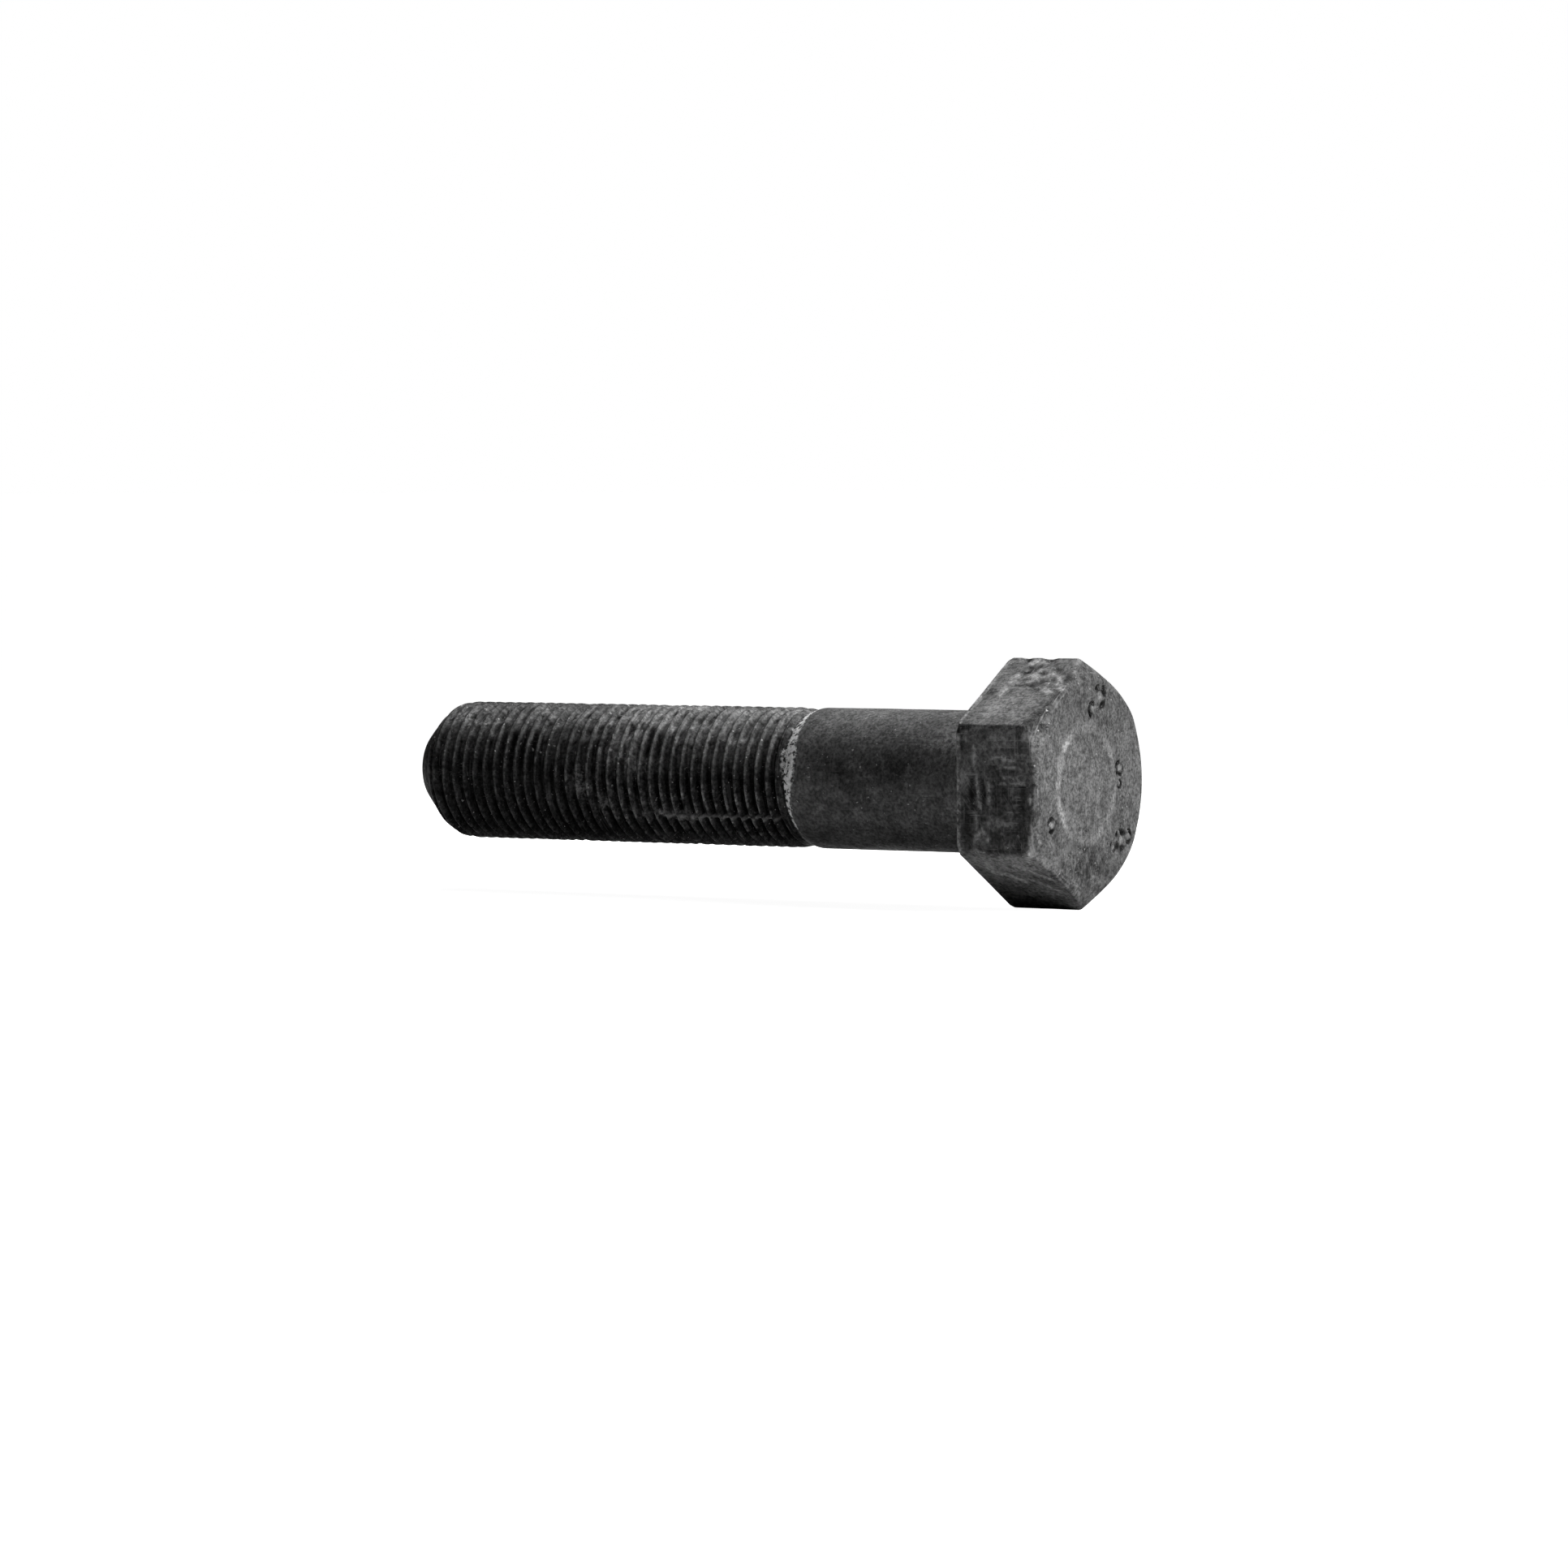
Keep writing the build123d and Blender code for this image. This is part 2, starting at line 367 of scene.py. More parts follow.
def hexagon_radius(angles):
    """Distance from the axis to the side of the hexagon, with its corners rounded."""
    from_flat = (angles + math.pi / 6) % (math.pi / 3) - math.pi / 6
    flat = HALF_FLATS / np.cos(from_flat)
    from_corner = math.pi / 6 - np.abs(from_flat)
    centre = (HALF_FLATS - CORNER_RADIUS) / math.cos(math.pi / 6)
    arc_end = math.atan2(CORNER_RADIUS * 0.5, centre + CORNER_RADIUS * math.cos(math.pi / 6))
    inside = np.clip(CORNER_RADIUS**2 - (centre * np.sin(from_corner)) ** 2, 0, None)
    arc = centre * np.cos(from_corner) + np.sqrt(inside)
    return np.where(from_corner < arc_end, arc, flat)


def rounded_rows(points, cuts, step):
    """Rows along a polyline of (x, radius) points, each an array over the columns.

    cuts says how far each inner corner is rounded back, and step is the widest row spacing.
    """
    points = [np.array([np.broadcast_to(c, COLUMNS) for c in point], float) for point in points]
    rows = []
    start = points[0]
    for number in range(1, len(points)):
        corner = points[number]
        back = corner - start
        if number < len(points) - 1 and cuts[number - 1] > 0:
            onward = points[number + 1] - corner
            reach = np.minimum(np.hypot(*back), np.hypot(*onward)) * 0.45
            cut = np.minimum(cuts[number - 1], reach)
            before = corner - back / np.hypot(*back) * cut
            after = corner + onward / np.hypot(*onward) * cut
            bend = BEND_ROWS
        else:
            before = after = corner
            bend = 0
        count = max(1, math.ceil(np.hypot(*(before - start)).max() / step))
        rows += [start + (before - start) * (k / count) for k in range(count)]
        for k in range(bend):
            t = k / bend
            rows.append((1 - t) ** 2 * before + 2 * t * (1 - t) * corner + t * t * after)
        start = after
    rows.append(start)
    return rows


def outline_radius(x):
    """Radius of the threaded part before its groove: point, shoulder, crests and neck."""
    xs = [TIP_X, TIP_X + POINT_CONE, TIP_X + POINT_CONE + POINT_LEAD]
    xs += [FULL_CREST_X, NECK_END_X, NECK_X]
    radii = [POINT_RADIUS, POINT_CONE_RADIUS, CREST_RADIUS, CREST_RADIUS, NECK_RADIUS, NECK_RADIUS]
    softness = np.where(x < POINT_SOFT_X, POINT_SOFTNESS, THREAD_SOFTNESS)
    softness = np.minimum(softness, np.maximum(0.0, x - TIP_X))
    taps = np.linspace(-1, 1, 9)
    return sum(np.interp(x + tap * softness, xs, radii) for tap in taps) / len(taps)


def from_root(x, angle):
    """Distance along X from the middle of the nearest groove."""
    along = (x - FULL_CREST_X) / PITCH - (angle - math.pi / 2) / (2 * math.pi)
    return np.abs(along - np.round(along)) * PITCH


def groove_radius(x, angle):
    """Radius of the thread's groove, whose root climbs out of the bar past the last full crest."""
    side = from_root(x, angle)
    arc_side = ROOT_ARC * math.cos(FLANK)
    arc_rise = ROOT_ARC * (1 - math.sin(FLANK))
    arc = ROOT_ARC - np.sqrt(np.clip(ROOT_ARC**2 - side**2, 0, None))
    flank = arc_rise + (side - arc_side) / math.tan(FLANK)
    rise = np.where(side < arc_side, arc, flank)
    return ROOT_RADIUS + rise + np.clip(x - FULL_CREST_X, 0, None) * RUN_OUT_SLOPE


def smooth_min(a, b, width):
    """The smaller of two values, eased where they are closer than this width."""
    blend = np.clip(1 - np.abs(a - b) / width, 0, 1)
    return np.minimum(a, b) - blend**2 * width / 4


def thread_rows():
    """Rows that follow the helix, as an array of x over rows and columns, and how many a turn."""
    back_down = [PITCH / MM - offset for offset in ROOT_TO_CREST[::-1]]
    offsets = np.array([0.0] + ROOT_TO_CREST + [PITCH / MM / 2] + back_down) * MM
    turns = round((HELIX_END_X - HELIX_START_X) / PITCH) + 4
    first = FULL_CREST_X - (turns - 2) * PITCH
    starts = first + PITCH * np.arange(turns + 1)
    x = (starts[:, None] + offsets[None, :]).ravel()
    return x[:, None] + PITCH * (ANGLES[None, :] - math.pi / 2) / (2 * math.pi), len(offsets)


# -------------------- the mesh
class Skin:
    """Vertices and faces of the closed skin, built ring by ring."""

    def __init__(self):
        self.x = []
        self.radius = []
        self.angle = []
        self.faces = []
        self.count = 0

    def add(self, x, radius, angle):
        size = len(x)
        self.x.append(x)
        self.radius.append(radius)
        self.angle.append(angle)
        self.count += size
        return np.arange(self.count - size, self.count)

    def ring(self, row):
        return self.add(row[0], row[1], ANGLES)

    def strip(self, ring_a, ring_b):
        """Quads between two rings, ring_b on the +X side or further out."""
        quads = np.stack([ring_a, np.roll(ring_a, -1), np.roll(ring_b, -1), ring_b], axis=1)
        self.faces.append(quads)

    def chain(self, rows, last=None):
        for row in rows:
            ring = self.ring(row)
            if last is not None:
                self.strip(last, ring)
            last = ring
        return last

    def cap(self, ring, x, flip):
        centre = self.add(np.array([x]), np.array([0.0]), np.array([0.0]))[0]
        fan = np.stack([ring, np.roll(ring, -1), np.full(COLUMNS, centre)], axis=1)
        self.faces.append(fan[:, ::-1] if flip else fan)


def add_thread(skin, start_ring, end_ring):
    """The threaded part between two plain rings. Rows run along the helix and join up with
    the next turn's rows after one turn, and a row that leaves the part ends on its ring."""
    x, per_turn = thread_rows()
    before = x < HELIX_START_X + SNAP
    after = x > HELIX_END_X - SNAP
    free = ~(before | after)
    angle = np.broadcast_to(ANGLES, x.shape)
    radius = smooth_min(outline_radius(x), groove_radius(x, angle), CREST_ROUNDING)
    index = np.zeros(x.shape, int)
    index[free] = skin.add(x[free], radius[free], angle[free])
    index = np.where(before, start_ring[None, :], index)
    index = np.where(after, end_ring[None, :], index)
    wrapped = np.append(index[per_turn:, 0], np.full(per_turn, end_ring[0]))
    index = np.concatenate([index, wrapped[:, None]], axis=1)
    quads = np.stack([index[:-1, :-1], index[:-1, 1:], index[1:, 1:], index[1:, :-1]], axis=-1)
    quads = quads.reshape(-1, 4)
    same = quads == np.roll(quads, -1, axis=1)
    skin.faces.append(quads[same.sum(axis=1) == 0])
    for side in range(4):
        # one pair of neighbours is the same vertex, so that the face is a triangle
        chosen = quads[(same.sum(axis=1) == 1) & same[:, side]]
        keep = [k for k in range(4) if k != side]
        skin.faces.append(chosen[:, keep])


def build_skin():
    skin = Skin()
    side = hexagon_radius(ANGLES)
    chamfer_x = HEAD_END_X - (side - HEAD_TOP_RADIUS) * CHAMFER_SLOPE
    bevel = np.maximum(side - BEARING_BEVEL_RADIUS, LEAST_BEVEL)
    tip_rows = rounded_rows(
        [
            (TIP_X, CENTRE_HOLE),
            (TIP_X, POINT_RADIUS),
            (HELIX_START_X, outline_radius(HELIX_START_X)),
        ],
        [POINT_ROUNDING],
        ROW_STEP,
    )
    last = skin.chain(tip_rows)
    skin.cap(np.arange(COLUMNS), TIP_X, True)
    head_rows = rounded_rows(
        [
            (HELIX_END_X, NECK_RADIUS),
            (NECK_X, NECK_RADIUS),
            (BODY_END_X, BODY_RADIUS),
            (0, BODY_RADIUS),
            (0, side - bevel),
            (bevel, side),
            (chamfer_x, side),
            (HEAD_END_X, HEAD_TOP_RADIUS),
            (HEAD_END_X, CENTRE_HOLE),
        ],
        [
            EDGE_ROUNDING,
            TAPER_ROUNDING,
            UNDER_HEAD_CUT,
            EDGE_ROUNDING,
            EDGE_ROUNDING,
            CHAMFER_ROUNDING,
            CHAMFER_ROUNDING,
        ],
        ROW_STEP,
    )
    end_ring = skin.ring(head_rows[0])
    add_thread(skin, last, end_ring)
    last = skin.chain(head_rows[1:], end_ring)
    skin.cap(last, HEAD_END_X, False)
    return skin


def make_mesh(name, points, faces):
    """A mesh from points and a list of arrays of triangles and quads."""
    loops = np.concatenate([group.ravel() for group in faces])
    sizes = np.concatenate([np.full(len(group), group.shape[1]) for group in faces])
    mesh = bpy.data.meshes.new(name)
    mesh.vertices.add(len(points))
    mesh.vertices.foreach_set("co", points.astype(np.float32).ravel())
    mesh.loops.add(len(loops))
    mesh.loops.foreach_set("vertex_index", loops.astype(np.int32))
    mesh.polygons.add(len(sizes))
    mesh.polygons.foreach_set("loop_start", np.append(0, np.cumsum(sizes)[:-1]).astype(np.int32))
    mesh.update(calc_edges=True)
    mesh.validate()
    mesh.polygons.foreach_set("use_smooth", np.ones(len(mesh.polygons), bool))
    return mesh


# -------------------- wear, dirt and painted shade on the mesh
class Noise:
    """Smooth noise in three dimensions, from -1 to 1, the same for the same seed."""

    def __init__(self, seed):
        self.values = np.random.default_rng(seed).uniform(-1, 1, 8192)

    def __call__(self, points, size):
        cell = points / size
        base = np.floor(cell).astype(np.int64)
        t = cell - base
        t = t * t * (3 - 2 * t)
        total = np.zeros(len(points))
        for corner in range(8):
            step = np.array([corner & 1, corner >> 1 & 1, corner >> 2 & 1])
            weight = np.where(step == 1, t, 1 - t).prod(axis=1)
            key = ((base + step) * np.array([73856093, 19349663, 83492791])).sum(axis=1)
            total += weight * self.values[key % len(self.values)]
        return total


def ramp(value, low, high):
    """0 below low, 1 above high, and smooth between them (low may be the larger one)."""
    t = np.clip((value - low) / (high - low), 0, 1)
    return t * t * (3 - 2 * t)


def falloff(squared_distance):
    """1 in the middle, 0 from a distance of 1 on, and smooth between."""
    return np.clip(1 - squared_distance, 0, 1) ** 2


def turn_between(angle, degrees):
    """Degrees from one angle to another, the short way round."""
    return (np.degrees(angle) - degrees + 180) % 360 - 180


def neighbour_mean(values, edges, count):
    """Mean of each vertex's neighbours."""
    total = np.zeros(count)
    for a, b in ((0, 1), (1, 0)):
        total += np.bincount(edges[:, a], values[edges[:, b]], count)
    degree = np.bincount(edges.ravel(), minlength=count)
    return total / np.maximum(degree, 1)


def bend_of(points, normals, edges):
    """How strongly the surface bends at each vertex, in 1/mm: above 0 where it is convex."""
    a, b = edges[:, 0], edges[:, 1]
    along = points[b] - points[a]
    turn = normals[b] - normals[a]
    bend = (along * turn).sum(axis=1) / np.maximum((along**2).sum(axis=1), 1e-14) * MM
    count = len(points)
    total = np.bincount(a, bend, count) + np.bincount(b, bend, count)
    bend = total / np.maximum(np.bincount(edges.ravel(), minlength=count), 1)
    for _ in range(2):
        bend = (bend + neighbour_mean(bend, edges, count)) / 2
    return bend


def dimples(points):
    """The rims and the middles of the dimples on the head's end, as two masks."""
    rims = np.zeros(len(points))
    middles = np.zeros(len(points))
    for degrees, distance, reach in DIMPLES:
        turn = math.radians(degrees)
        across = [distance * math.cos(turn), distance * math.sin(turn)]
        centre = np.array([HEAD_END_X / MM] + across) * MM
        away = np.linalg.norm(points - centre, axis=1) / (reach * MM)
        rims = np.maximum(rims, falloff(((away - 0.72) / 0.42) ** 2))
        middles = np.maximum(middles, falloff((away / 0.48) ** 2))
    return rims, middles


def patches(points, places):
    """Soft patches at places given as x, y, z, the reach along each, and how strong."""
    total = np.zeros(len(points))
    for place in places:
        away = (points - np.array(place[:3]) * MM) / (np.array(place[3:6]) * MM)
        total = np.maximum(total, place[6] * np.exp(-(away**2).sum(axis=1)))
    return total


def streaks(points, places):
    """Thin lines from one point to another, with their half width and how strong."""
    total = np.zeros(len(points))
    for place in places:
        start = np.array(place[0:3]) * MM
        along = np.array(place[3:6]) * MM - start
        part = np.clip((points - start) @ along / (along @ along), 0, 1)
        away = np.linalg.norm(points - start - part[:, None] * along, axis=1) / (place[6] * MM)
        total = np.maximum(total, place[7] * np.exp(-(away**2)))
    return total


def grime_mask(points, angle, on_thread, noise):
    """Patches of light, dull grime in the thread."""
    x = points[:, 0]
    grime = np.zeros(len(x))
    for at, degrees, reach, spread, strength in GRIME:
        there = ((x - at * MM) / (reach * MM)) ** 2 + (turn_between(angle, degrees) / spread) ** 2
        grime = np.maximum(grime, strength * np.exp(-there))
    return grime * on_thread * np.clip(0.65 + 0.9 * noise(points, 1.3 * MM), 0, 1)


def packed_mask(points, angle, on_thread, noise):
    """Dirt packed into the roots along the upper side, and thinly at the front by the point."""
    uneven = ramp(noise(points, 3.1 * MM), -1.0, 0.0)
    upper = ramp(np.abs(turn_between(angle, PACKED_UPPER)), 72, 36) * uneven
    by_point = ramp(points[:, 0], -48 * MM, -58 * MM)
    front = ramp(np.abs(turn_between(angle, PACKED_FRONT)), 95, 40) * by_point
    return np.maximum(upper, 0.3 * front) * on_thread


def chalk_mask(points, angle, noise):
    """The chalky ring on the run-out: broad at the front, thin below."""
    width = CHALK_WIDTH
    for degrees, spread, wider in CHALK_BULGES:
        width = width + wider * np.exp(-((turn_between(angle, degrees) / spread) ** 2))
    centre = CHALK_X + 0.25 * noise(points, 1.6 * MM) + 0.15 * noise(points, 0.6 * MM)
    chalk = np.exp(-(((points[:, 0] / MM - centre) / width) ** 2))
    from_front = turn_between(angle, 150)
    front = ramp(from_front, 85, 45) * ramp(from_front, -85, -50)
    back = ramp(np.abs(turn_between(angle, 20)), 60, 20)
    return chalk * (0.35 + 0.65 * np.maximum(front, back))


def dust_mask(x, angle):
    """Dust on the plain body: a patch at the front, and a thin band under the head."""
    dust = np.exp(-(((x / MM + 3.6) / 3.4) ** 2) - (turn_between(angle, 143) / 17) ** 2)
    dust += 0.5 * np.exp(-(((x / MM + 1.5) / 1.5) ** 2))
    return np.where((x < 0) & (x > BODY_END_X), np.clip(dust, 0, 1), 0)


def end_ring_mask(points, on_end, noise):
    """The faint ring on the head's end, broken up, and brighter towards the front flat."""
    across = points[:, 1] - END_RING_CENTRE[0]
    above = points[:, 2] - END_RING_CENTRE[1]
    ring = falloff(((np.hypot(across, above) - END_RING_RADIUS) / END_RING_WIDTH) ** 2)
    ring_turn = np.arctan2(above, across)
    bright = 0.30 + 0.90 * ramp(np.abs(turn_between(ring_turn, 152)), 34, 16)
    bright = np.maximum(bright, 0.8 * ramp(np.abs(turn_between(ring_turn, 212)), 28, 14))
    broken = np.clip(0.75 + 0.9 * noise(points, 1.5 * MM), 0.1, 1)
    return ring * on_end * bright * broken


def stain_and_shade_mask(points, angle, on_end, on_thread):
    """Dark stains, painted shade along the underside of the thread, and darker around the rim of
    the head's end and beside the chalky ring.
    """
    rim = ramp(np.hypot(points[:, 1], points[:, 2]), 9.8 * MM, 11.6 * MM) * on_end
    # painted shade: darker along the underside of the thread
    underside_shade = ramp(np.abs(turn_between(angle, 262)), 48, 18) * on_thread
    beside_chalk = 0.7 * np.exp(-(((points[:, 0] / MM + 25.7) / 0.8) ** 2))
    return np.maximum.reduce([patches(points, STAINS_AND_SHADE), 0.2 * rim, underside_shade, beside_chalk])


def crack_mask(points, on_head, noise):
    """Torn streaks in the battered part of the upper flat."""
    away = (points - np.array(GOUGED_CENTRE) * MM) / np.array(GOUGED_REACH) / MM
    gouged = falloff((away**2).sum(axis=1)) ** 0.5
    return gouged * ramp(noise(points * np.array([1, 2, 2]), 0.9 * MM), 0.05, 0.55) * on_head


def scrape_mask(points, angle, on_thread, noise):
    """The light scrape across the crests, low on the front."""
    x = points[:, 0]
    scrape = falloff((turn_between(angle, SCRAPE_ANGLE) / SCRAPE_SPREAD) ** 2)
    scrape *= np.clip(0.75 + 0.8 * noise(points, 1.6 * MM), 0, 1)
    scrape *= ramp(x, -42.5 * MM, -40 * MM) * ramp(x, -25.5 * MM, -27 * MM)
    return scrape * on_thread


def paint_masks(points, radius, angle):
    """Where dirt and wear lie, and painted shade and highlights, as one value per vertex for each
    mask, mostly from 0 to 1.
    """
    noise = Noise(SEED + 1)
    x = points[:, 0]
    on_end = ramp(x, HEAD_END_X - 0.4 * MM, HEAD_END_X - 0.1 * MM)
    on_head = ramp(x, -0.1 * MM, 0.15 * MM)
    on_thread = ramp(x, *THREAD_FINISH)

    # rise is 0 in the thread's root and 1 on its crest and everywhere else
    rise = np.clip(1 - (outline_radius(x) - radius) / THREAD_DEPTH, 0, 1)
    grooved = (x > TIP_X + POINT_END) & (x < NECK_END_X)
    masks = {"rise": np.where(grooved, rise, 1.0), "thread": on_thread}
    masks["point"] = ramp(x, -43 * MM, -53 * MM)
    masks["grime"] = grime_mask(points, angle, on_thread, noise)
    masks["packed"] = packed_mask(points, angle, on_thread, noise)
    masks["chalk"] = chalk_mask(points, angle, noise)
    masks["dust"] = dust_mask(x, angle)
    masks["scrape"] = scrape_mask(points, angle, on_thread, noise)
    # polish round the scrape, and a painted highlight on the crests low on the front
    polish = ramp(np.abs(turn_between(angle, POLISH_AND_HIGHLIGHT_ANGLE)), 36, 14)
    masks["polish"] = polish * ramp(x, -52 * MM, -44 * MM) * on_thread
    # stains, with painted shade under the thread
    masks["stain"] = stain_and_shade_mask(points, angle, on_end, on_thread)

    masks["head"] = on_head
    masks["ring"] = end_ring_mask(points, on_end, noise)
    masks["rubbed"] = on_head * patches(points, RUBBED)
    # dark cuts, and painted shade along the upper-left chamfer
    masks["cut"] = on_head * streaks(points, CUTS_AND_SHADE)
    masks["crack"] = crack_mask(points, on_head, noise)
    bearing_edge = np.exp(-(((x / MM - 0.22) / 0.22) ** 2))
    from_axis = np.hypot(points[:, 1], points[:, 2])
    masks["rim"] = bearing_edge * ramp(from_axis, 11 * MM, 11.8 * MM)
    rims, middles = dimples(points)
    masks["pit"] = rims * np.clip(0.7 + 1.3 * noise(points, 0.62 * MM), 0, 1)
    masks["streak"] = np.maximum(on_head * streaks(points, SCRAPES), 0.55 * middles)
    return masks


def packed_radius(points, radius, masks):
    """Radius of each vertex once dirt fills the thread's roots up to an uneven level."""
    noise = Noise(SEED + 2)
    fill = np.maximum(0.95 * masks["grime"], masks["packed"])
    fill *= np.clip(0.70 + 0.30 * noise(points, 1.1 * MM), 0, 0.85)
    fill = np.maximum(fill, 0.55 * masks["scrape"])
    level = outline_radius(points[:, 0]) - THREAD_DEPTH * (1 - fill)
    in_thread = (points[:, 0] < NECK_END_X) & (points[:, 0] > HELIX_START_X)
    return np.where(in_thread, -smooth_min(-radius, -level, DIRT_EDGE), radius)


def worn_height(points, radius, angle, masks):
    """How far wear moves each vertex along its normal, in metres, below 0 for inwards."""
    noise = Noise(SEED)
    x = points[:, 0]
    height = UNDULATION * noise(points, 2.6 * MM) + 0.4 * UNDULATION * noise(points, 0.9 * MM)
    rough = 1 + 0.35 * noise(points, 0.5 * MM)
    for at_x, at_y, at_z, reach, depth in DENTS:
        away = (points - np.array([at_x, at_y, at_z]) * MM) / (reach * MM)
        height -= depth * MM * falloff((away**2).sum(axis=1)) * rough
    height -= DIMPLE_DEPTH * masks["pit"]
    height -= CRACK_DEPTH * masks["crack"]
    height -= CUT_DEPTH * masks["cut"]

    # the ring on the head's end stands slightly proud, with uneven strength
    height += END_RING_RIDGE * masks["ring"] * np.clip(0.6 + 0.6 * noise(points, 2 * MM), 0, 1)

    # crests of the thread: uneven, nicked, and flattened along the scrape
    on_thread = (x < NECK_END_X) & (x > TIP_X + POINT_CONE * 0.6)
    crest = ramp(masks["rise"], 0.55, 0.95) * on_thread
    height -= CREST_WEAR * crest * ramp(noise(points, 0.7 * MM), 0.0, 0.9)
    height -= CREST_NICKS * crest * ramp(noise(points, 1.7 * MM), 0.40, 0.8)
    height -= CREST_SCRAPE * crest * masks["scrape"]
    # the groove goes on faintly over the point's cone
    trace = falloff((from_root(x, angle) / TRACE_REACH) ** 2)
    trace *= ramp(x, TIP_X + POINT_END, TIP_X + 2 * MM) * ramp(x, TIP_X + 5 * MM, TIP_X + 3.4 * MM)
    height -= TRACE_DEPTH * trace
    # a shallow seam along the middle of the crest, as rolling leaves it
    seam = falloff(((PITCH / 2 - from_root(x, angle)) / SEAM_REACH) ** 2)
    height -= SEAM_DEPTH * seam * crest * np.clip(0.4 + noise(points, 2.2 * MM), 0, 1)
    return height


def build_bolt():
    """The bolt's one mesh with its wear, and the masks its material reads."""
    skin = build_skin()
    x = np.concatenate(skin.x)
    radius = np.concatenate(skin.radius)
    angle = np.concatenate(skin.angle)
    points = np.stack([x, radius * np.cos(angle), radius * np.sin(angle)], axis=1)
    masks = paint_masks(points, radius, angle)
    radius = packed_radius(points, radius, masks)
    points = np.stack([x, radius * np.cos(angle), radius * np.sin(angle)], axis=1)
    points[:, 2] += POINT_RISE * ramp(x, TIP_X + 5 * MM, TIP_X + 1.5 * MM)
    mesh = make_mesh("hex_bolt_skin", points, skin.faces)
    count = len(points)
    normals = np.zeros(count * 3, np.float32)
    mesh.vertices.foreach_get("normal", normals)
    height = worn_height(points, radius, angle, masks)
    worn = points + normals.reshape(-1, 3) * height[:, None]
    worn[:, 0] = np.clip(worn[:, 0], TIP_X, HEAD_END_X)
    mesh.vertices.foreach_set("co", worn.astype(np.float32).ravel())
    mesh.update()
    edges = np.zeros(len(mesh.edges) * 2, np.int32)
    mesh.edges.foreach_get("vertices", edges)
    mesh.vertices.foreach_get("normal", normals)
    masks["bend"] = np.clip(bend_of(worn, normals.reshape(-1, 3), edges.reshape(-1, 2)), -2, 2)
    for name, values in masks.items():
        layer = mesh.attributes.new(name, "FLOAT", "POINT")
        layer.data.foreach_set("value", values.astype(np.float32))
    bolt = bpy.data.objects.new("black_steel_bolt", mesh)
    bpy.context.scene.collection.objects.link(bolt)
    return bolt


# -------------------- the material
class Sheet:
    """Short ways to lay out one material's nodes. Lengths are in millimetres."""

    def __init__(self, name):
        self.material = bpy.data.materials.new(name)
        self.material.use_nodes = True
        self.tree = self.material.node_tree
        self.shader = self.tree.nodes["Principled BSDF"]
        place = self.add("ShaderNodeTexCoord").outputs["Object"]
        in_mm = self.add("ShaderNodeVectorMath", [place, (1 / MM,) * 3], operation="MULTIPLY")
        self.place = in_mm.outputs[0]

    def add(self, kind, inputs=(), **settings):
        node = self.tree.nodes.new(kind)
        for setting, value in settings.items():
            setattr(node, setting, value)
        named = inputs.items() if isinstance(inputs, dict) else enumerate(inputs)
        for socket, value in named:
            self.plug(value, node.inputs[socket])
        return node

    def plug(self, value, socket):
        if isinstance(value, bpy.types.NodeSocket):
            self.tree.links.new(value, socket)
        else:
            socket.default_value = value

    def calc(self, operation, a, b=0.0, c=0.0):
        return self.add("ShaderNodeMath", [a, b, c], operation=operation).outputs[0]

    def noise(self, size, detail=2.0, stretch=(1, 1, 1), turn=(0, 0, 0), shift=0.0):
        """Noise from about 0.2 to 0.8, with features of this size times the stretch."""
        scale = [1 / (size * s) for s in stretch]
        rotation = [math.radians(t) for t in turn]
        moved = {"Vector": self.place, "Location": (shift,) * 3, "Rotation": rotation}
        turned = self.add("ShaderNodeMapping", moved).outputs[0]
        scaled = self.add("ShaderNodeVectorMath", [turned, scale], operation="MULTIPLY").outputs[0]
        settings = {"Vector": scaled, "Scale": 1.0, "Detail": detail, "Roughness": 0.6}
        return self.add("ShaderNodeTexNoise", settings).outputs[0]

    def ramp(self, value, low, high, start=0.0, end=1.0):
        """From start to end as the value goes from low to high, smoothly, and level beyond."""
        limits = [value, low, high, start, end]
        return self.add("ShaderNodeMapRange", limits, interpolation_type="SMOOTHSTEP").outputs[0]

    def mask(self, name):
        return self.add("ShaderNodeAttribute", attribute_name=name).outputs["Fac"]

    def blend(self, factor, a, b):
        return self.add("ShaderNodeMix", {0: factor, 2: a, 3: b}, data_type="FLOAT").outputs[0]

    def times(self, *values):
        total = values[0]
        for value in values[1:]:
            total = self.calc("MULTIPLY", total, value)
        return total


